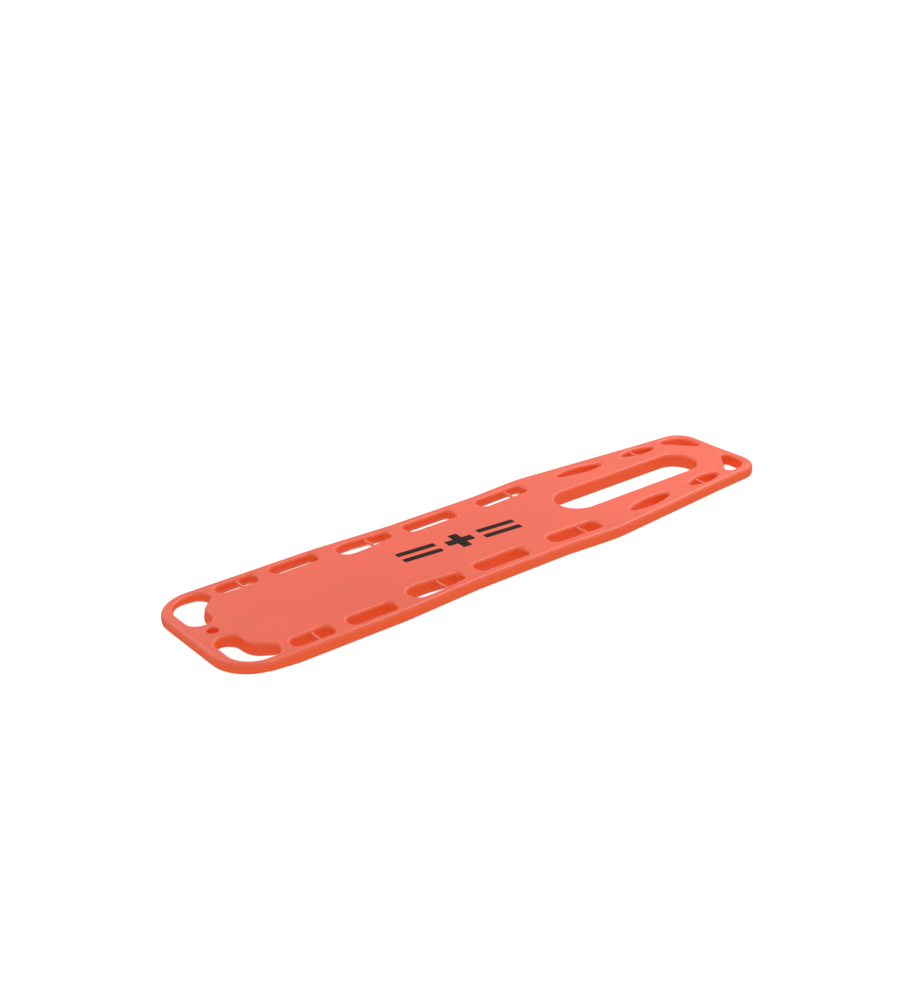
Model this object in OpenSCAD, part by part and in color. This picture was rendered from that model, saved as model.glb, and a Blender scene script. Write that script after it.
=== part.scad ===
// Spine board: a rigid carrying board with side grips, strap pins and a leg opening.
// Lies flat on its two runners, +X toward the foot end, Z up, millimetres.

/* [Board] */
// overall length
board_l = 1840; // [1600:10:2000]
// width at the head end
head_w = 450; // [380:5:520]
// width at the waist, between the grips
waist_w = 421; // [360:5:500]
// width at the hips
hip_w = 446; // [380:5:520]
// width where the foot taper eases
calf_w = 364; // [300:5:420]
// width at the foot end, before the corners are rounded
foot_w = 338; // [280:5:420]
// thickness of the outer bars, where the grips are
board_t = 35; // [28:1:50]
// how far the middle body stands below the outer bars
body_drop = 7; // [3:1:12]
// half width of the middle body
body_y = 126; // [110:1:128]
// how much thinner the head end is on its underside
head_lift = 8; // [2:1:14]
// where the head end starts to thin, from the head edge
head_in = 175; // [150:5:220]
// length of the slope up to the thinner head end
head_slope = 90; // [60:5:120]
// radius of the two head corners
head_r = 112; // [60:2:140]
// radius of the two foot corners
foot_r = 72; // [40:2:100]
// how far the foot edge dips in at its middle
foot_dip = 4; // [1:0.5:8]

/* [Skin] */
// thickness of the flat skins
skin_t = 3.2; // [2.5:0.1:5]
// thickness of the outer side wall
side_t = 8; // [6:0.5:12]
// thickness of the wall around an opening
tube_t = 6; // [4:0.5:8]

/* [Grip slots] */
// width of the two grips nearest the head
grip_w = 42; // [34:1:50]
// width of the two grips at the waist and hips
waist_grip_w = 48; // [38:1:56]
// width of the two pointed leg grips
leaf_w = 38; // [32:1:48]
// end radius of the two oval leg grips
leaf_r = 9; // [6:1:14]
// rounding of a grip's corners
grip_r = 17; // [12:1:20]

/* [Finger scoops] */
// height of the slope cut under the outer side of a grip
scoop_h = 14; // [6:1:18]
// depth of that slope toward the outer edge
scoop_d = 13; // [6:1:15]

/* [Leg opening] */
// length of the long central opening
leg_l = 520; // [400:10:600]
// width of the long central opening
leg_w = 125; // [90:5:150]
// rounding of its ends
leg_r = 60; // [40:1:62]
// distance of its middle from the board's middle
leg_x = 529; // [480:1:560]

/* [Round hole] */
// diameter of the hole at the head end
eye_d = 30; // [16:1:40]
// distance of the hole from the head end
eye_in = 67; // [60:1:100]
// chamfer of its top rim
eye_c = 2.5; // [1:0.5:4]

/* [Strap pins] */
// pin diameter
pin_d = 8; // [6:0.5:12]
// pin length, with the ends buried in the walls and foam
pin_l = 68; // [62:1:72]
// depth of the pin axis under the top face
pin_depth = 11; // [8:0.5:18]

/* [Runners] */
// height of the moulded runners under the middle body
runner_h = 3; // [2:0.5:6]
// width of a runner
runner_w = 34; // [24:1:36]
// length of a runner
runner_l = 1430; // [1200:10:1460]
// distance of the middle of the runners and stiffeners from the board's middle, toward the foot
runner_x = 15; // [0:5:30]
// distance of each runner and stiffener from the centre line
runner_y = 90; // [86:1:94]

/* [Stiffeners] */
// outside diameter of a stiffening tube
stiff_d = 18; // [12:1:20]
// wall of a stiffening tube
stiff_wall = 2; // [1.5:0.5:4]
// length of a stiffening tube
stiff_l = 1400; // [1000:10:1420]

/* [Plugs] */
// diameter of the foam filling plug
fill_d = 24; // [16:1:30]
// diameter of a vent plug
vent_d = 10; // [6:1:14]
// depth of the plugs from the underside
plug_t = 7; // [5:0.5:9]
// distance of the head vent plug from the head end
vent_in = 300; // [250:5:350]
// distance of the foot vent plug from the foot end
foot_vent_in = 68; // [50:2:100]
// distance of the filling plug from the board's middle, toward the head
fill_x = 320; // [0:10:500]

/* [Mark] */
// depth of the printed mark in the top skin
mark_t = 0.6; // [0.4:0.1:1]
// distance of the mark's middle from the board's middle, toward the head
mark_x = 93; // [0:1:200]
// turn of the mark in degrees
mark_turn = -5; // [-10:1:10]
// size of the plus sign
plus_s = 84; // [40:2:90]
// thickness of the plus sign's arms
plus_b = 28; // [12:1:30]
// length of a bar beside the plus sign
bar_l = 120; // [60:5:140]
// thickness of a bar
bar_w = 20; // [10:1:24]
// distance between the middles of the two bars of a pair
bar_gap = 38; // [30:1:50]
// gap between the plus and each pair of bars
mark_gap = 26; // [15:1:40]

/* [Colours] */
// colour of the skin and pins
skin_c = [0.90, 0.33, 0.22];
// colour of the foam
foam_c = [0.95, 0.90, 0.72];
// colour of the stiffening tubes
stiff_c = [0.80, 0.80, 0.70];
// colour of the mark
mark_c = [0.08, 0.06, 0.06];

/* [Hidden] */
$fn = 96;
half_l = board_l / 2;
body_z = runner_h;
under = body_z + body_drop;
top = under + board_t;
mid = under + board_t / 2;
head_z = under + head_lift;
head_x = -half_l + head_in;
eye_x = -half_l + eye_in;
pin_z = top - pin_depth;
foot_lead = 0.96 * foot_dip * foot_r / (foot_w / 2);
lap = 1;
hair = 0.002;

// ---- outlines: closed counter-clockwise lists of [x, y, corner radius] ----

function xy(v) = [v[0], v[1]];
function at(p, i) = p[(i + len(p)) % len(p)];
function unit(v) = v / norm(v);
function left(d) = [-d[1], d[0]];
function din(p, i) = unit(xy(at(p, i)) - xy(at(p, i - 1)));
function bend(p, i) = atan2(cross(din(p, i), din(p, i + 1)), din(p, i) * din(p, i + 1));
function side(p, i) = bend(p, i) > 0 ? 1 : -1;
function reach(p, i) = at(p, i)[2] * abs(tan(bend(p, i) / 2));
function t_in(p, i) = xy(at(p, i)) - din(p, i) * reach(p, i);
function t_out(p, i) = xy(at(p, i)) + din(p, i + 1) * reach(p, i);
function centre(p, i) = t_in(p, i) + left(din(p, i)) * at(p, i)[2] * side(p, i);

// the same outline moved inward by d (outward when d is negative)
function inset(p, d) = [for (i = [0 : len(p) - 1])
    let (n = left(din(p, i)), m = left(din(p, i + 1)),
        v = xy(at(p, i)) + (n + m) * d / (1 + n * m))
    [v[0], v[1], at(p, i)[2] - side(p, i) * d]];

// the mirror image across the centre line, still counter-clockwise
function flip(p) = [for (i = [len(p) - 1 : -1 : 0]) [p[i][0], -p[i][1], p[i][2]]];

// a list turned by a and moved to c
function place(p, a, c) = [for (v = p)
    [c[0] + v[0] * cos(a) - v[1] * sin(a), c[1] + v[0] * sin(a) + v[1] * cos(a), v[2]]];

function slot(l, w, r) = [[-l / 2, -w / 2, r], [l / 2, -w / 2, r], [l / 2, w / 2, r], [-l / 2, w / 2, r]];

// an oval grip of four arcs: end radius r, long arcs of radius big
function oval(l, w, r) =
    let (a = l / 2 - r, big = (a * a + w * w / 4 - r * r) / (w - 2 * r) , h = big - w / 2,
        s = [a, h] / norm([a, h]), j = [a + r * s[0], r * s[1]])
    [[0, -j[1] - j[0] * s[0] / s[1], big * 0.98], [j[0] + j[1] * s[1] / s[0], 0, r * 0.93],
     [0, j[1] + j[0] * s[0] / s[1], big * 0.98], [-j[0] - j[1] * s[1] / s[0], 0, r * 0.93]];

outline_left = [
    [half_l + foot_lead, foot_w / 2, foot_r], [735, calf_w / 2, 500], [283, hip_w / 2, 400],
    [115, waist_w / 2, 400], [-189, waist_w / 2, 600], [-434, head_w / 2, 600],
    [-half_l, head_w / 2, head_r]];
outline = concat([[half_l + foot_lead - foot_dip, 0, 1500]], outline_left, flip(outline_left));
body_left = [[870, 30, 12], [800, 112, 30], [700, 112, 150], [600, body_y, 150],
    [head_x, body_y, 40]];
body = concat(body_left, flip(body_left));

grip_1 = place(slot(116, grip_w, grip_r), 0, [-682, 179]);
grip_2 = place(slot(138, grip_w, grip_r), 0, [-508, 180]);
grip_3 = [[-378, 131, 26], [-322, 131, 80], [-212, 146, 14],
    [-212, 179, 14], [-322, 191, 80], [-378, 191, 26]];
grip_4 = place(slot(165, waist_grip_w, grip_r), 0, [-77, 157]);
grip_5 = place(slot(171, waist_grip_w - 1, grip_r), 2.5, [181, 157]);
grip_6 = place(oval(154, leaf_w, leaf_r), -5, [475, 150]);
grip_7 = place(oval(117, leaf_w, leaf_r), -5, [706, 138]);
head_grip = [[-884, 43, 32], [-822, 43, 32], [-818, 112, 60], [-768, 162, 10],
    [-780, 197, 26], [-884, 197, 68]];
foot_grip = [[893, 29, 14], [893, 146, 58], [793, 146, 12]];
leg_opening = place(slot(leg_l, leg_w, leg_r), 0, [leg_x, 0]);

grips_left = [grip_1, grip_2, grip_3, grip_4, grip_5, grip_6, grip_7, head_grip, foot_grip];
openings = concat([leg_opening], grips_left, [for (g = grips_left) flip(g)]);
runner = place(slot(runner_l, runner_w, runner_w / 2 - 1), 0, [runner_x, runner_y]);
runners = [runner, flip(runner)];

// finger scoops under the outer sides of the grips: x of the middle, length, y of the outer wall
scoops = [[-682, 84, 200], [-508, 106, 201], [-345, 40, 191], [-77, 133, 181], [181, 130, 180.5],
    [475, 80, 168], [706, 50, 156]];

// where each pin sits: x along the board and y of its middle, left row
pins = [[-670, 179], [-276, 161], [212, 158], [694, 138]];

// ---- flat shape of an outline, its corners true arcs ----

// the part of corner i's disc beyond its chord, a hair larger so that it crosses the straight edges
module segment(p, i) {
    m = (t_in(p, i) + t_out(p, i)) / 2;
    up = unit(xy(at(p, i)) - m);
    r = at(p, i)[2];
    half = norm(t_out(p, i) - t_in(p, i)) / 2;
    notch = min(half / 2, 3 * lap);
    d = left(up);
    wide = r + lap;
    intersection() {
        translate(centre(p, i)) circle(r + hair);
        polygon([m - d * wide - up * notch, m + d * wide - up * notch,
            m + d * wide + up * 2 * wide, m - d * wide + up * 2 * wide]);
    }
}

module flat(p) {
    n = len(p) - 1;
    difference() {
        union() {
            polygon([for (i = [0 : n]) each [t_in(p, i), t_out(p, i)]]);
            for (i = [0 : n]) if (side(p, i) > 0) segment(p, i);
        }
        for (i = [0 : n]) if (side(p, i) < 0) segment(p, i);
    }
}

module prism(p, z0, z1) {
    translate([0, 0, z0]) linear_extrude(z1 - z0) flat(p);
}

// ---- pieces ----

// a slope cut from the underside up to the outer wall of a grip, grown by g on every side
module scoop(c, row, g) {
    x = c[0] - c[1] / 2 - g;
    translate([x, 0, 0]) rotate([90, 0, 90]) linear_extrude(c[1] + 2 * g) scale([row, 1])
        polygon([[c[2] - 2 * lap, under - lap], [c[2] + scoop_d + g, under - lap],
            [c[2] + scoop_d + g, under], [c[2] + g, under + scoop_h + g],
            [c[2] - 2 * lap, under + scoop_h + g]]);
}

module all_scoops(g) {
    for (c = scoops, row = [-1, 1]) scoop(c, row, g);
}

// what is taken off under the head end, its top face moved up by g
module head_cut(g) {
    translate([0, board_l / 2, 0]) rotate([90, 0, 0]) linear_extrude(board_l)
        polygon([[head_x, under - lap], [head_x, under + g], [head_x - head_slope, head_z + g],
            [-half_l - lap, head_z + g], [-half_l - lap, under - lap]]);
}

module cavity() {
    difference() {
        union() {
            prism(inset(outline, side_t), under + skin_t, top - skin_t);
            prism(inset(body, tube_t), body_z + skin_t, under + skin_t + lap);
        }
        for (p = openings) prism(inset(p, -tube_t), 0, top);
        translate([eye_x, 0, under]) cylinder(r = eye_d / 2 + tube_t, h = board_t);
        all_scoops(skin_t);
        head_cut(skin_t);
    }
}

module pin(i, row) {
    translate([pins[i][0], row * pins[i][1] + pin_l / 2, pin_z])
        rotate([90, 0, 0]) cylinder(d = pin_d, h = pin_l);
}

module all_pins() {
    for (i = [0 : len(pins) - 1], row = [-1, 1]) pin(i, row);
}

module plug(x, d) {
    translate([x, 0, body_z]) rotate([0, 0, 10]) cylinder(d = d, h = plug_t);
}

module all_plugs() {
    plug(-fill_x, fill_d);
    plug(-half_l + vent_in, vent_d);
    plug(half_l - foot_vent_in, vent_d);
}

module stiffener_bar(row) {
    translate([runner_x - stiff_l / 2, row * runner_y, mid])
        rotate([0, 90, 0]) cylinder(d = stiff_d, h = stiff_l);
}

// plus sign with a pair of bars each side
module mark_shape() {
    for (a = [0, 90]) rotate([0, 0, a]) square([plus_s, plus_b], center = true);
    for (s = [-1, 1], row = [-1, 1])
        translate([s * ((plus_s + bar_l) / 2 + mark_gap), row * bar_gap / 2])
            square([bar_l, bar_w], center = true);
}

module mark_block(z0, z1) {
    translate([-mark_x, 0, z0]) rotate([0, 0, mark_turn]) linear_extrude(z1 - z0) mark_shape();
}

module board_shell() {
    color(skin_c) difference() {
        union() {
            prism(outline, under, top);
            prism(body, body_z, under + lap);
            for (p = runners) prism(p, 0, body_z + lap);
        }
        for (p = openings) prism(p, -lap, top + lap);
        translate([eye_x, 0, under - lap]) cylinder(d = eye_d, h = board_t + 2 * lap);
        translate([eye_x, 0, top - eye_c])
            cylinder(r1 = eye_d / 2, r2 = eye_d / 2 + eye_c + lap, h = eye_c + lap);
        cavity();
        all_pins();
        all_plugs();
        all_scoops(0);
        head_cut(0);
        mark_block(top - mark_t, top + lap);
    }
}

module foam_core() {
    color(foam_c) difference() {
        cavity();
        all_pins();
        all_plugs();
        for (row = [-1, 1]) stiffener_bar(row);
    }
}

module strap_pin_r1() { color(skin_c) pin(0, -1); }
module strap_pin_r2() { color(skin_c) pin(1, -1); }
module strap_pin_r3() { color(skin_c) pin(2, -1); }
module strap_pin_r4() { color(skin_c) pin(3, -1); }
module strap_pin_l1() { color(skin_c) pin(0, 1); }
module strap_pin_l2() { color(skin_c) pin(1, 1); }
module strap_pin_l3() { color(skin_c) pin(2, 1); }
module strap_pin_l4() { color(skin_c) pin(3, 1); }

module stiffener(row) {
    color(stiff_c) difference() {
        stiffener_bar(row);
        translate([runner_x - stiff_l / 2 - lap, row * runner_y, mid]) rotate([0, 90, 0])
            cylinder(d = stiff_d - 2 * stiff_wall, h = stiff_l + 2 * lap);
    }
}

module stiffener_r() { stiffener(-1); }
module stiffener_l() { stiffener(1); }
module fill_plug() { color(skin_c) plug(-fill_x, fill_d); }
module vent_plug_head() { color(skin_c) plug(-half_l + vent_in, vent_d); }
module vent_plug_foot() { color(skin_c) plug(half_l - foot_vent_in, vent_d); }
module printed_mark() { color(mark_c) mark_block(top - mark_t, top); }

board_shell();
foam_core();
strap_pin_r1();
strap_pin_r2();
strap_pin_r3();
strap_pin_r4();
strap_pin_l1();
strap_pin_l2();
strap_pin_l3();
strap_pin_l4();
stiffener_r();
stiffener_l();
fill_plug();
vent_plug_head();
vent_plug_foot();
printed_mark();
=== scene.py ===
"""Spine board: a moulded orange-red carrying board with side grips, strap pins and a leg opening.

Metres, in the frame of the CAD model: +X toward the foot end, +Y the left row of grips, +Z up.
"""
import math

import bmesh
import bpy
from mathutils import Matrix, Vector


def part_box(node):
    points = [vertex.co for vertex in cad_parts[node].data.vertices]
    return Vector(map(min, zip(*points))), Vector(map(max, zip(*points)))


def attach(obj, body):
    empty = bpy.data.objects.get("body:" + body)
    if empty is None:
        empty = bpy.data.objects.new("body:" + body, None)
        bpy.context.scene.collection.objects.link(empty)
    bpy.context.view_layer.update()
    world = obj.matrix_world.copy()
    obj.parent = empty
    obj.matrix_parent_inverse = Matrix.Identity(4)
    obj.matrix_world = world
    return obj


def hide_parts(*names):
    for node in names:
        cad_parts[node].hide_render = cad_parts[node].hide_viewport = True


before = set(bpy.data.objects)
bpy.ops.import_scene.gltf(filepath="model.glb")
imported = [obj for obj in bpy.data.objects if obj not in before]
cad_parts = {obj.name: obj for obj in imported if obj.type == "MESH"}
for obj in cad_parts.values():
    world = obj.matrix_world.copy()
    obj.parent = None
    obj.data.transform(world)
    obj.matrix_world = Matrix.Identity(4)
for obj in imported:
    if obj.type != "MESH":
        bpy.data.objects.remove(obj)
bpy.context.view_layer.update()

MM = 0.001
BODY_DROP = 7                          # how far the middle body stands below the outer bars
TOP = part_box("board_shell")[1][2]      # the top face
BODY_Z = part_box("fill_plug")[0][2]     # the underside of the middle body
UNDER = BODY_Z + BODY_DROP * MM        # the underside of the outer bars


# ---------------------------------------------------------------- outlines, in millimetres

def sub(a, b):
    return (a[0] - b[0], a[1] - b[1])


def unit(v):
    n = math.hypot(*v)
    return (v[0] / n, v[1] / n)


def placed(outline, centre, turn):
    """An outline turned by an angle in degrees and moved to a centre."""
    c, s = math.cos(math.radians(turn)), math.sin(math.radians(turn))
    return [(centre[0] + x * c - y * s, centre[1] + x * s + y * c, r) for x, y, r in outline]


def slot(length, width, radius, centre, turn=0):
    """A rounded rectangle as a counter-clockwise list of (x, y, corner radius)."""
    signs = ((-1, -1), (1, -1), (1, 1), (-1, 1))
    return placed([(u * length / 2, v * width / 2, radius) for u, v in signs], centre, turn)


def oval(length, width, radius, centre, turn):
    """A grip of four arcs: two small end arcs and two long ones, each a little under its full radius."""
    a = length / 2 - radius
    big = (a * a + width * width / 4 - radius * radius) / (width - 2 * radius)
    sx, sy = unit((a, big - width / 2))
    jx, jy = a + radius * sx, radius * sy
    mid, tip = jy + jx * sx / sy, jx + jy * sy / sx
    points = [(0, -mid, big * 0.98), (tip, 0, radius * 0.93), (0, mid, big * 0.98), (-tip, 0, radius * 0.93)]
    return placed(points, centre, turn)


def mirrored(outline):
    return [(x, -y, r) for x, y, r in reversed(outline)]


HALF_L = 920
FOOT_HALF_W, FOOT_R = 169, 72
FOOT_DIP = 4                                                  # crown of the foot edge
FOOT_LEAD = 0.96 * FOOT_DIP * FOOT_R / FOOT_HALF_W            # brings the rounded foot out to HALF_L
OUTLINE_LEFT = [(HALF_L + FOOT_LEAD, FOOT_HALF_W, FOOT_R), (735, 182, 500), (283, 223, 400),
                (115, 210.5, 400), (-189, 210.5, 600), (-434, 225, 600), (-HALF_L, 225, 112)]
OUTLINE = [(HALF_L - FOOT_DIP + FOOT_LEAD, 0, 1500)] + OUTLINE_LEFT + mirrored(OUTLINE_LEFT)
GRIPS_LEFT = [
    slot(116, 42, 17, (-682, 179)),
    slot(138, 42, 17, (-508, 180)),
    [(-378, 131, 26), (-322, 131, 80), (-212, 146, 14), (-212, 179, 14), (-322, 191, 80), (-378, 191, 26)],
    slot(165, 48, 17, (-77, 157)),
    slot(171, 47, 17, (181, 157), 2.5),
    oval(154, 38, 9, (475, 150), -5),
    oval(117, 38, 9, (706, 138), -5),
    [(-884, 43, 30), (-822, 43, 30), (-818, 112, 60), (-768, 162, 10), (-780, 197, 26), (-884, 197, 68)],
    [(893, 29, 14), (893, 146, 58), (793, 146, 12)],
]
LEG_OPENING = slot(520, 125, 60, (529, 0))
GRIPS = GRIPS_LEFT + [mirrored(g) for g in GRIPS_LEFT]
EYE = (-853, 0, 15)
EYE_RIM, EYE_LIP = 5, 2
EDGE_R = 12    # round of the outer edge at the top
LOW_R = 8      # round of the outer edge at the underside
RIM_R = 11     # round of an opening's mouth
LIP_R = 2      # round of an opening at the underside
DRAFT = 2.8    # how far the walls of a grip lean in by the lower lip
SPACING = 45   # rough distance between points along a straight
SCOOP_D, SCOOP_H = 13, 14    # finger scoop under the outer side of a grip: depth outward, height
HEAD_LIFT = 8 * MM           # how much thinner the bar round the head grips is, on its underside
HEAD_X, HEAD_SLOPE = -745, 0.09             # where the thinning starts, and the length of its slope
BAR_X, BAR_X_BLEND = -0.822, 0.05           # where the bar starts along the board, and its blend
BAR_Y, BAR_Y_BLEND = 0.150, 0.04            # and the same across the board
LIFT_DEPTH = 0.012                          # depth below the top face that the thinning leaves alone
BODY_Y = 126
BODY_LEFT = [(870, 30, 12), (800, 112, 30), (700, 112, 150), (600, BODY_Y, 150), (HEAD_X, BODY_Y, 40)]
BODY = BODY_LEFT + mirrored(BODY_LEFT)
RUNNER = slot(1430, 34, 16, (15, 90))
RUNNERS = [RUNNER, mirrored(RUNNER)]


MARK_X, MARK_TURN, MARK_R = -93, -5, 2.5      # middle, turn and corner radius of the mark
PLUS_HALF, PLUS_HALF_W = 42, 14
STRIPE_L, STRIPE_W = 120, 20
STRIPE_X, STRIPE_Y = 128, 19                  # middle of a stripe from the middle of the plus


def mark_outlines():
    """A plus sign with a pair of stripes each side."""
    h, b = PLUS_HALF, PLUS_HALF_W
    plus = [(-h, -b), (-b, -b), (-b, -h), (b, -h), (b, -b), (h, -b),
            (h, b), (b, b), (b, h), (-b, h), (-b, b), (-h, b)]
    shapes = [placed([(x, y, MARK_R) for x, y in plus], (MARK_X, 0), MARK_TURN)]
    for side in (-1, 1):
        for row in (-1, 1):
            x, y, _ = placed([(side * STRIPE_X, row * STRIPE_Y, 0)], (MARK_X, 0), MARK_TURN)[0]
            shapes.append(slot(STRIPE_L, STRIPE_W, MARK_R, (x, y), MARK_TURN))
    return shapes


def corners(outline, inward=0.0, fine=7.0):
    """Points in metres round an outline moved inward; the number of points is the same for any move."""
    out, spans, n = [], [], len(outline)
    counts = [max(1, round(math.hypot(*sub(outline[(i + 1) % n], outline[i])) / SPACING)) for i in range(n)]
    for i in range(n):
        before, here, after = outline[i - 1], outline[i], outline[(i + 1) % n]
        d, e = unit(sub(here, before)), unit(sub(after, here))
        bend = math.atan2(d[0] * e[1] - d[1] * e[0], d[0] * e[0] + d[1] * e[1])
        side = 1 if bend > 0 else -1
        reach = here[2] * abs(math.tan(bend / 2))
        a = (here[0] - d[0] * reach, here[1] - d[1] * reach)
        c = (a[0] - d[1] * here[2] * side, a[1] + d[0] * here[2] * side)
        steps = max(2, math.ceil(abs(math.degrees(bend)) / fine))
        r = here[2] - side * inward
        start = math.atan2(a[1] - c[1], a[0] - c[0])
        for k in range(steps + 1):
            t = start + bend * k / steps
            out.append(((c[0] + r * math.cos(t)) * MM, (c[1] + r * math.sin(t)) * MM))
        spans.append(len(out) - 1)
    whole = []
    for i, (p, q) in enumerate(zip(out, out[1:] + out[:1])):
        whole.append(p)
        cuts = counts[spans.index(i)] if i in spans else 1
        for k in range(1, cuts):
            whole.append((p[0] + (q[0] - p[0]) * k / cuts, p[1] + (q[1] - p[1]) * k / cuts))
    return whole


def circle(centre, radius, steps=48):
    return [((centre[0] + radius * math.cos(2 * math.pi * k / steps)) * MM,
             (centre[1] + radius * math.sin(2 * math.pi * k / steps)) * MM) for k in range(steps)]


# ---------------------------------------------------------------- mesh helpers

def ring(bm, points, z, rim=0.0):
    """A closed loop of edges at one height, edge k ending at point k; rim is how strongly the lighter rim
    colour shows there, partly handling wear and partly painted highlight.
    """
    layer = bm.verts.layers.float.get("rim") or bm.verts.layers.float.new("rim")
    verts = [bm.verts.new((x, y, z)) for x, y in points]
    for v in verts:
        v[layer] = rim
    return [bm.edges.new((verts[k - 1], verts[k])) for k in range(len(verts))]


def bands(bm, loops):
    for a, b in zip(loops, loops[1:]):
        bmesh.ops.bridge_loops(bm, edges=a + b)
    return loops[0], loops[-1]


def wall(bm, outline, section):
    """Bands through a list of (inward move in millimetres, height in metres, rim); returns the end loops."""
    return bands(bm, [ring(bm, corners(outline, d), z, rim) for d, z, rim in section])


def round_down(radius, z, steps, sign=1):
    """A quarter round from a flat face at z down into a wall; sign 1 moves the loop inward, -1 outward."""
    out = []
    for k in range(steps + 1):
        t = math.radians(90 * k / steps)
        out.append((sign * radius * (1 - math.sin(t)), z - radius * MM * (1 - math.cos(t)), math.sin(2 * t)))
    return out


def round_up(radius, z, steps, sign=1):
    """The same round at the lower end of a wall, from the wall to the flat face at z."""
    return [(d, 2 * z - h, rim) for d, h, rim in reversed(round_down(radius, z, steps, sign))]


def smooth_step(x):
    x = min(max(x, 0.0), 1.0)
    return x * x * (3 - 2 * x)


def scooped_wall(bm, outline):
    """A grip's wall: rounded mouth, and on its outer side a finger scoop that slopes out to the underside."""
    ys = [abs(p[1]) for p in corners(outline)]
    middle, half = (min(ys) + max(ys)) / 2, (max(ys) - min(ys)) / 2
    plain = round_down(RIM_R, TOP, 7, -1) + [(DRAFT, UNDER + 9 * MM, 0)]
    plain += [(d + DRAFT, z, rim) for d, z, rim in round_up(LIP_R, UNDER, 4, -1)]
    h, d = SCOOP_H, SCOOP_D
    hollow = [(0, UNDER + (h + 4) * MM, 0), (-0.6, UNDER + (h + 1) * MM, 0.3),
              (-1.8, UNDER + (h - 1.5) * MM, 0.5), (-0.45 * d, UNDER + 0.5 * h * MM, 0.2),
              (-0.85 * d, UNDER + 0.1 * h * MM, 0), (-d, UNDER, 0)]
    hollow = round_down(RIM_R, TOP, 7, -1) + hollow
    loops = []
    for (d0, z0, rim), (d1, z1, _) in zip(plain, hollow):
        loop = ring(bm, corners(outline, d0), z0, rim)
        for v, (x, y) in zip([e.verts[1] for e in loop], corners(outline, d1)):
            w = smooth_step((abs(v.co.y) - middle) / half * 1.4 - 0.1)
            v.co.x += (x - v.co.x) * w
            v.co.y += (y - v.co.y) * w
            v.co.z += (z1 - z0) * w
        loops.append(loop)
    return bands(bm, loops)


def lift_head_underside(bm):
    """The bar around the head grips is thinner: its underside and lower walls move up, the top face stays."""
    for v in bm.verts:
        bar = max((BAR_X - v.co.x) / BAR_X_BLEND, (abs(v.co.y) - BAR_Y) / BAR_Y_BLEND)
        rise = HEAD_LIFT * min(max((HEAD_X * MM - v.co.x) / HEAD_SLOPE, 0), 1) * min(max(bar, 0), 1)
        v.co.z += rise * min(max((TOP - LIFT_DEPTH - v.co.z) / (TOP - LIFT_DEPTH - UNDER), 0), 1)


def fill(bm, edges, up):
    """A flat face between loops, the inner ones left open."""
    bmesh.ops.triangle_fill(bm, use_beauty=True, use_dissolve=False, edges=edges, normal=(0, 0, up))


def finish_mesh(bm, name, finish, smooth=True):
    bmesh.ops.remove_doubles(bm, verts=bm.verts, dist=1e-6)
    bmesh.ops.recalc_face_normals(bm, faces=bm.faces)
    for f in bm.faces:
        f.smooth = smooth
    mesh = bpy.data.meshes.new(name)
    bm.to_mesh(mesh)
    bm.free()
    obj = bpy.data.objects.new(name, mesh)
    bpy.context.scene.collection.objects.link(obj)
    mesh.materials.append(finish)
    return obj


def even_shading(obj):
    m = obj.modifiers.new("even_shading", "WEIGHTED_NORMAL")
    m.mode = "FACE_AREA"
    m.weight = 50
    m.keep_sharp = True


# ---------------------------------------------------------------- shared effects

def node(tree, kind, **values):
    n = tree.nodes.new(kind)
    for key, value in values.items():
        if key in n.inputs:
            n.inputs[key].default_value = value
        else:
            setattr(n, key, value)
    return n


def effect(name, inputs, outputs):
    """An empty node group with named sockets."""
    group = bpy.data.node_groups.new(name, "ShaderNodeTree")
    for socket, value in inputs:
        made = group.interface.new_socket(socket, in_out="INPUT", socket_type="NodeSocketFloat")
        made.default_value = value
    for socket in outputs:
        group.interface.new_socket(socket, in_out="OUTPUT", socket_type="NodeSocketFloat")
    return group, group.nodes.new("NodeGroupInput"), group.nodes.new("NodeGroupOutput")


def moulded_grain():
    """Surface of a moulding: fine peel, slow waves and clouds of pigment."""
    inputs = [("Peel Scale", 900), ("Wave Scale", 9), ("Cloud Scale", 3.5)]
    group, given, made = effect("moulded_grain", inputs, ["Height", "Cloud"])
    link = group.links.new
    place = node(group, "ShaderNodeTexCoord").outputs["Object"]
    peel = node(group, "ShaderNodeTexNoise", Detail=3.0, Roughness=0.55)
    wave = node(group, "ShaderNodeTexNoise", Detail=1.0, Roughness=0.4)
    cloud = node(group, "ShaderNodeTexNoise", Detail=5.0, Roughness=0.6, Distortion=0.6)
    for texture, socket in ((peel, "Peel Scale"), (wave, "Wave Scale"), (cloud, "Cloud Scale")):
        link(place, texture.inputs["Vector"])
        link(given.outputs[socket], texture.inputs["Scale"])
    height = node(group, "ShaderNodeMath", operation="MULTIPLY_ADD")
    height.inputs[1].default_value = 0.06
    link(peel.outputs["Fac"], height.inputs[0])
    link(wave.outputs["Fac"], height.inputs[2])
    soft = node(group, "ShaderNodeMapRange", **{"From Min": 0.3, "From Max": 0.7})
    link(cloud.outputs["Fac"], soft.inputs["Value"])
    link(height.outputs[0], made.inputs["Height"])
    link(soft.outputs["Result"], made.inputs["Cloud"])
    return group


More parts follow.
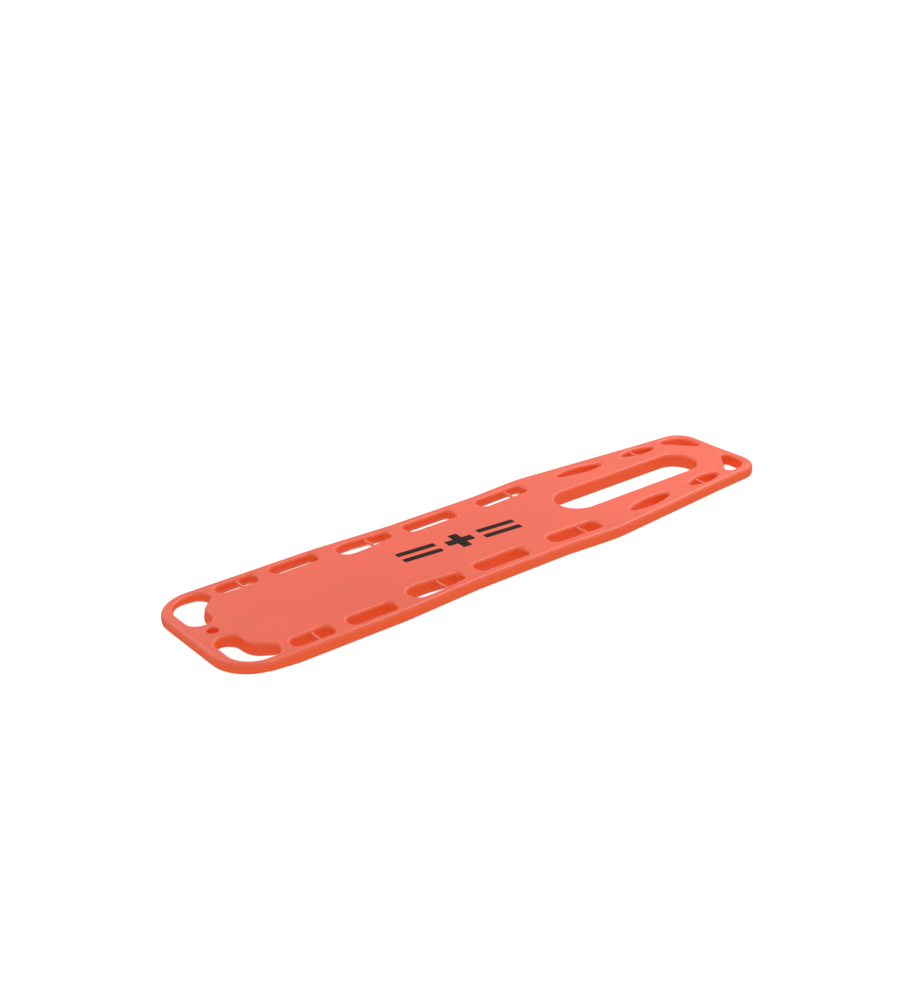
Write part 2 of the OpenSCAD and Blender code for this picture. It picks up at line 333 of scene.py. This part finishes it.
def handling_wear():
    """Fine scuffs that run mostly along the piece, and a patchy mask for lighter rims, partly handling wear
    and partly painted highlight.
    """
    inputs = [("Scuff Scale", 60), ("Patch Scale", 12)]
    group, given, made = effect("handling_wear", inputs, ["Scuffs", "Patches"])
    link = group.links.new
    place = node(group, "ShaderNodeTexCoord").outputs["Object"]
    stretch = node(group, "ShaderNodeMapping")
    stretch.inputs["Scale"].default_value = (0.12, 1.0, 1.0)
    stretch.inputs["Rotation"].default_value = (0, 0, 0.35)
    link(place, stretch.inputs["Vector"])
    lines = node(group, "ShaderNodeTexNoise", Detail=6.0, Roughness=0.7)
    link(stretch.outputs["Vector"], lines.inputs["Vector"])
    link(given.outputs["Scuff Scale"], lines.inputs["Scale"])
    thin = node(group, "ShaderNodeMapRange", **{"From Min": 0.60, "From Max": 0.78})
    link(lines.outputs["Fac"], thin.inputs["Value"])
    patch = node(group, "ShaderNodeTexNoise", Detail=4.0, Roughness=0.6)
    link(place, patch.inputs["Vector"])
    link(given.outputs["Patch Scale"], patch.inputs["Scale"])
    broad = node(group, "ShaderNodeMapRange", **{"From Min": 0.35, "From Max": 0.65})
    link(patch.outputs["Fac"], broad.inputs["Value"])
    link(thin.outputs["Result"], made.inputs["Scuffs"])
    link(broad.outputs["Result"], made.inputs["Patches"])
    return group


GRAIN = moulded_grain()
WEAR = handling_wear()


# ---------------------------------------------------------------- materials

def material(name):
    m = bpy.data.materials.new(name)
    m.use_nodes = True
    return m, m.node_tree, m.node_tree.nodes["Principled BSDF"]


def use(tree, group, **values):
    n = tree.nodes.new("ShaderNodeGroup")
    n.node_tree = group
    for key, value in values.items():
        n.inputs[key.replace("_", " ")].default_value = value
    return n


def blend_colours(tree, factor, first, second):
    """A colour mix; first and second are colours or sockets."""
    mix = node(tree, "ShaderNodeMix", data_type="RGBA")
    tree.links.new(factor, mix.inputs["Factor"])
    for socket, value in ((mix.inputs[6], first), (mix.inputs[7], second)):
        if isinstance(value, tuple):
            socket.default_value = (*value, 1)
        else:
            tree.links.new(value, socket)
    return mix.outputs[2]


def spread(tree, source, low, high):
    """A mask mapped to the range low to high."""
    r = node(tree, "ShaderNodeMapRange", **{"To Min": low, "To Max": high})
    tree.links.new(source, r.inputs["Value"])
    return r.outputs["Result"]


PAINTED_SIDE_SHADE = (0.86, 0.088, 0.006)    # painted shade: the skin's colour on its upright sides, deeper than on the faces, in place of the sheen that only the faces catch


def moulded(name, deep, light, rubbed_and_highlight, rough=(0.30, 0.42), bump=0.35, distance=0.0012, edges=False, **scales):
    """Satin moulded plastic with clouds and scuffs; edges adds lighter rims, partly handling wear and partly
    painted highlight, and painted shade that deepens the upright sides.
    """
    m, tree, bsdf = material(name)
    link = tree.links.new
    grain = use(tree, GRAIN, **scales)
    wear = use(tree, WEAR)
    colour = blend_colours(tree, grain.outputs["Cloud"], deep, light)
    scuff = spread(tree, wear.outputs["Scuffs"], 0.0, 0.10)
    colour = blend_colours(tree, scuff, colour, rubbed_and_highlight)
    if edges:
        # lighter rims: partly handling wear, partly painted highlight on the rounded edges
        rim = node(tree, "ShaderNodeAttribute", attribute_name="rim")
        rim_wear_and_highlight = node(tree, "ShaderNodeMath", operation="MULTIPLY")
        link(rim.outputs["Fac"], rim_wear_and_highlight.inputs[0])
        link(spread(tree, wear.outputs["Patches"], 0.10, 0.34), rim_wear_and_highlight.inputs[1])
        colour = blend_colours(tree, rim_wear_and_highlight.outputs[0], colour, rubbed_and_highlight)
        # painted shade: upright sides take a deeper colour than the flat faces
        level = node(tree, "ShaderNodeAttribute", attribute_name="level")
        colour = blend_colours(tree, level.outputs["Fac"], PAINTED_SIDE_SHADE, colour)
    link(colour, bsdf.inputs["Base Color"])
    gloss = node(tree, "ShaderNodeMath", operation="MULTIPLY_ADD")
    gloss.inputs[1].default_value = 0.10
    link(wear.outputs["Scuffs"], gloss.inputs[0])
    link(spread(tree, grain.outputs["Cloud"], *rough), gloss.inputs[2])
    link(gloss.outputs[0], bsdf.inputs["Roughness"])
    relief = node(tree, "ShaderNodeBump", Strength=bump, Distance=distance)
    link(grain.outputs["Height"], relief.inputs["Height"])
    link(relief.outputs["Normal"], bsdf.inputs["Normal"])
    bsdf.inputs["IOR"].default_value = 1.5
    return m


# the third colour serves the scuffs and the lighter rims, which are partly painted highlight
SKIN = moulded("moulded_orange_skin", (0.70, 0.078, 0.030), (0.76, 0.090, 0.036), (0.86, 0.21, 0.13),
               edges=True)
PIN = moulded("moulded_pin", (0.74, 0.12, 0.06), (0.80, 0.15, 0.08), (0.88, 0.26, 0.18))
PLUG = moulded("pressed_plug", (0.52, 0.050, 0.020), (0.58, 0.060, 0.025), (0.70, 0.14, 0.08), Wave_Scale=40)
INK = moulded("black_ink", (0.012, 0.005, 0.004), (0.020, 0.009, 0.008), (0.07, 0.03, 0.02),
              rough=(0.6, 0.75), bump=0.25)
INK.node_tree.nodes["Principled BSDF"].inputs["Specular IOR Level"].default_value = 0.12
FOAM = moulded("filling_foam", (0.72, 0.60, 0.34), (0.82, 0.72, 0.46), (0.86, 0.80, 0.60),
               rough=(0.8, 0.95), bump=0.8, distance=0.003, Peel_Scale=240, Wave_Scale=90)
TUBE = moulded("glass_fibre_tube", (0.52, 0.52, 0.40), (0.64, 0.64, 0.52), (0.74, 0.74, 0.66),
               rough=(0.32, 0.5), Peel_Scale=300)


# ---------------------------------------------------------------- pieces

def stands_for(piece, slot_name, *nodes):
    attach(piece, "root")
    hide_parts(*nodes)


def moulded_shell():
    """The outer skin: one closed surface with rounded rims, a deeper middle body and two runners."""
    bm = bmesh.new()
    top_loops, low_loops, body_loops = [], [], []
    a, b = wall(bm, OUTLINE, round_down(EDGE_R, TOP, 9) + round_up(LOW_R, UNDER, 6))
    top_loops += a
    low_loops += b
    for grip in GRIPS:
        a, b = scooped_wall(bm, grip)
        top_loops += a
        low_loops += b
    a, b = bands(bm, [ring(bm, circle(EYE, EYE[2] - d), z, rim)
                      for d, z, rim in round_down(EYE_RIM, TOP, 6, -1) + round_up(EYE_LIP, UNDER, 3, -1)])
    top_loops += a
    low_loops += b
    step = [(-1, UNDER, 0), (-0.4, UNDER - 0.4 * MM, 0), (0, UNDER - 1.2 * MM, 0)]
    a, b = wall(bm, BODY, step + round_up(3, BODY_Z, 4))
    low_loops += a
    body_loops += b
    a, b = wall(bm, LEG_OPENING, round_down(RIM_R, TOP, 7, -1) + round_up(LIP_R, BODY_Z, 4, -1))
    top_loops += a
    body_loops += b
    for runner in RUNNERS:
        a, b = wall(bm, runner, [(-1, BODY_Z, 0), (-0.3, BODY_Z - 0.4 * MM, 0), (0, BODY_Z - 1 * MM, 0)]
                    + round_up(1.8, 0.0, 4))
        body_loops += a
        fill(bm, b, -1)
    fill(bm, top_loops, 1)
    fill(bm, low_loops, -1)
    fill(bm, body_loops, -1)
    lift_head_underside(bm)
    shell = finish_mesh(bm, "moulded_shell", SKIN)
    # level is 1 on the faces and 0 on upright sides; it masks the painted shade on the sides
    level = shell.data.attributes.new("level", "FLOAT", "POINT")
    level.data.foreach_set("value", [abs(v.normal.z) for v in shell.data.vertices])
    even_shading(shell)
    stands_for(shell, "skin_plastic", "board_shell")


def inlaid_mark():
    """The plus sign and stripes, a skin of ink a fifth of a millimetre proud of the top face."""
    bm = bmesh.new()
    for shape in mark_outlines():
        section = [(0, TOP - 0.3 * MM, 0), (0, TOP + 0.1 * MM, 0), (0.3, TOP + 0.2 * MM, 0)]
        a, b = wall(bm, shape, section)
        fill(bm, a, -1)
        fill(bm, b, 1)
    stands_for(finish_mesh(bm, "inlaid_mark", INK, smooth=False), "black_print", "printed_mark")


def turned(name, profile, centre, finish):
    """A closed turned piece from (radius, height) pairs in metres."""
    bm = bmesh.new()
    verts = [bm.verts.new((r, 0, z)) for r, z in profile]
    edges = [bm.edges.new(pair) for pair in zip(verts, verts[1:])]
    bmesh.ops.spin(bm, geom=verts + edges, cent=(0, 0, 0), axis=(0, 0, 1), angle=2 * math.pi, steps=48,
                   use_merge=True, use_duplicate=False)
    bmesh.ops.translate(bm, verts=bm.verts, vec=centre)
    return finish_mesh(bm, name, finish)


def plug(node_name):
    """A pressed-in plug with a domed head, a raised lip and a small vent dimple."""
    low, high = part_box(node_name)
    r, depth = (high[0] - low[0]) / 2, high[2] - low[2]
    centre = ((low[0] + high[0]) / 2, (low[1] + high[1]) / 2, low[2])
    profile = [(0, 0.1 * r), (0.12 * r, 0.08 * r), (0.2 * r, -0.06 * r), (0.7 * r, -0.05 * r),
               (0.76 * r, -0.11 * r), (0.94 * r, -0.12 * r), (1.05 * r, -0.07 * r), (1.08 * r, 0.0),
               (r, 0.02 * r), (0.98 * r, depth * 0.9), (0.9 * r, depth), (0, depth)]
    piece = turned(node_name + "_head", profile, centre, PLUG)
    even_shading(piece)
    stands_for(piece, "plug_plastic", node_name)


def cross_pin(node_name):
    """A moulded cross pin that flares into the walls at both ends of its opening."""
    low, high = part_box(node_name)
    r, half = (high[0] - low[0]) / 2, (high[1] - low[1]) / 2
    centre = Vector(((low[0] + high[0]) / 2, (low[1] + high[1]) / 2, (low[2] + high[2]) / 2))
    opening = next(g for g in GRIPS if min(v[0] for v in g) < centre.x / MM < max(v[0] for v in g)
                   and min(v[1] for v in g) < centre.y / MM < max(v[1] for v in g))
    edge = corners(opening)
    cuts = []
    for (ax, ay), (bx, by) in zip(edge, edge[1:] + edge[:1]):
        if (ax - centre.x) * (bx - centre.x) <= 0 and ax != bx:
            cuts.append(ay + (by - ay) * (centre.x - ax) / (bx - ax))
    near, far = min(cuts) - centre.y, max(cuts) - centre.y
    profile = [(0, -half), (r, -half), (r * 1.5, near), (r * 1.12, near + 0.4 * r), (r, near + r),
               (r, far - r), (r * 1.12, far - 0.4 * r), (r * 1.5, far), (r, half), (0, half)]
    piece = turned(node_name + "_bar", profile, (0, 0, 0), PIN)
    piece.data.transform(Matrix.Translation(centre) @ Matrix.Rotation(math.radians(-90), 4, "X"))
    even_shading(piece)
    stands_for(piece, "pin_plastic", node_name)


def inner_pieces():
    """The foam and the two tubes keep their CAD shapes and get their finishes."""
    for name, finish in (("foam_core", FOAM), ("stiffener_r", TUBE), ("stiffener_l", TUBE)):
        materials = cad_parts[name].data.materials
        materials.clear()
        materials.append(finish)


def floor():
    """A pale floor that gives its own light; it is dimmer in reflections, so the sides keep their colour."""
    bm = bmesh.new()
    bmesh.ops.create_grid(bm, x_segments=1, y_segments=1, size=40)
    m, tree, bsdf = material("pale_floor")
    bsdf.inputs["Base Color"].default_value = (0.14, 0.14, 0.14, 1)
    bsdf.inputs["Roughness"].default_value = 0.9
    bsdf.inputs["Specular IOR Level"].default_value = 0.0
    bsdf.inputs["Emission Color"].default_value = (1, 1, 1, 1)
    rays = node(tree, "ShaderNodeLightPath")
    tree.links.new(spread(tree, rays.outputs["Is Glossy Ray"], 0.98, 0.12), bsdf.inputs["Emission Strength"])
    obj = finish_mesh(bm, "floor", m, smooth=False)
    obj.data.transform(Matrix.Translation((0, 0, -0.0005)))


# ---------------------------------------------------------------- light and camera

def camera():
    data = bpy.data.cameras.new("camera")
    data.sensor_fit = "HORIZONTAL"
    data.sensor_width = 36
    data.lens = 59.471053
    data.clip_end = 200
    data.dof.use_dof = False
    cam = bpy.data.objects.new("camera", data)
    bpy.context.scene.collection.objects.link(cam)
    azimuth, elevation, roll = math.radians(-37.28), math.radians(24.16), math.radians(1.64)
    back = Vector((math.sin(azimuth) * math.cos(elevation), -math.cos(azimuth) * math.cos(elevation),
                   math.sin(elevation)))
    right = (-back).cross(Vector((0, 0, 1))).normalized()
    up = right.cross(-back)
    x = math.cos(roll) * right - math.sin(roll) * up
    y = math.sin(roll) * right + math.cos(roll) * up
    turn = Matrix((x, y, back)).transposed()
    cam.matrix_world = Matrix.Translation((-2.318, -2.911, 1.808)) @ turn.to_4x4()
    bpy.context.scene.camera = cam


def area_light(name, place, aim, size, power):
    data = bpy.data.lights.new(name, "AREA")
    data.shape = "RECTANGLE"
    data.size, data.size_y = size
    data.energy = power
    lamp = bpy.data.objects.new(name, data)
    lamp.rotation_euler = (Vector(aim) - Vector(place)).to_track_quat("-Z", "Y").to_euler()
    lamp.location = place
    bpy.context.scene.collection.objects.link(lamp)


def studio():
    world = bpy.data.worlds.new("studio")
    world.use_nodes = True
    background = world.node_tree.nodes["Background"]
    background.inputs["Color"].default_value = (1, 1, 1, 1)
    background.inputs["Strength"].default_value = 0.82
    bpy.context.scene.world = world
    area_light("softbox", (1.7, 0.2, 2.5), (0, 0, 0), (1.4, 3.4), 47)
    area_light("strip_box", (-0.9, 2.6, 2.3), (-0.6, 0, 0), (2.6, 1.0), 12)
    bpy.context.scene.view_settings.view_transform = "Standard"


moulded_shell()
inlaid_mark()
for name in ("fill_plug", "vent_plug_head", "vent_plug_foot"):
    plug(name)
for row in "rl":
    for k in "1234":
        cross_pin("strap_pin_" + row + k)
inner_pieces()
floor()
camera()
studio()
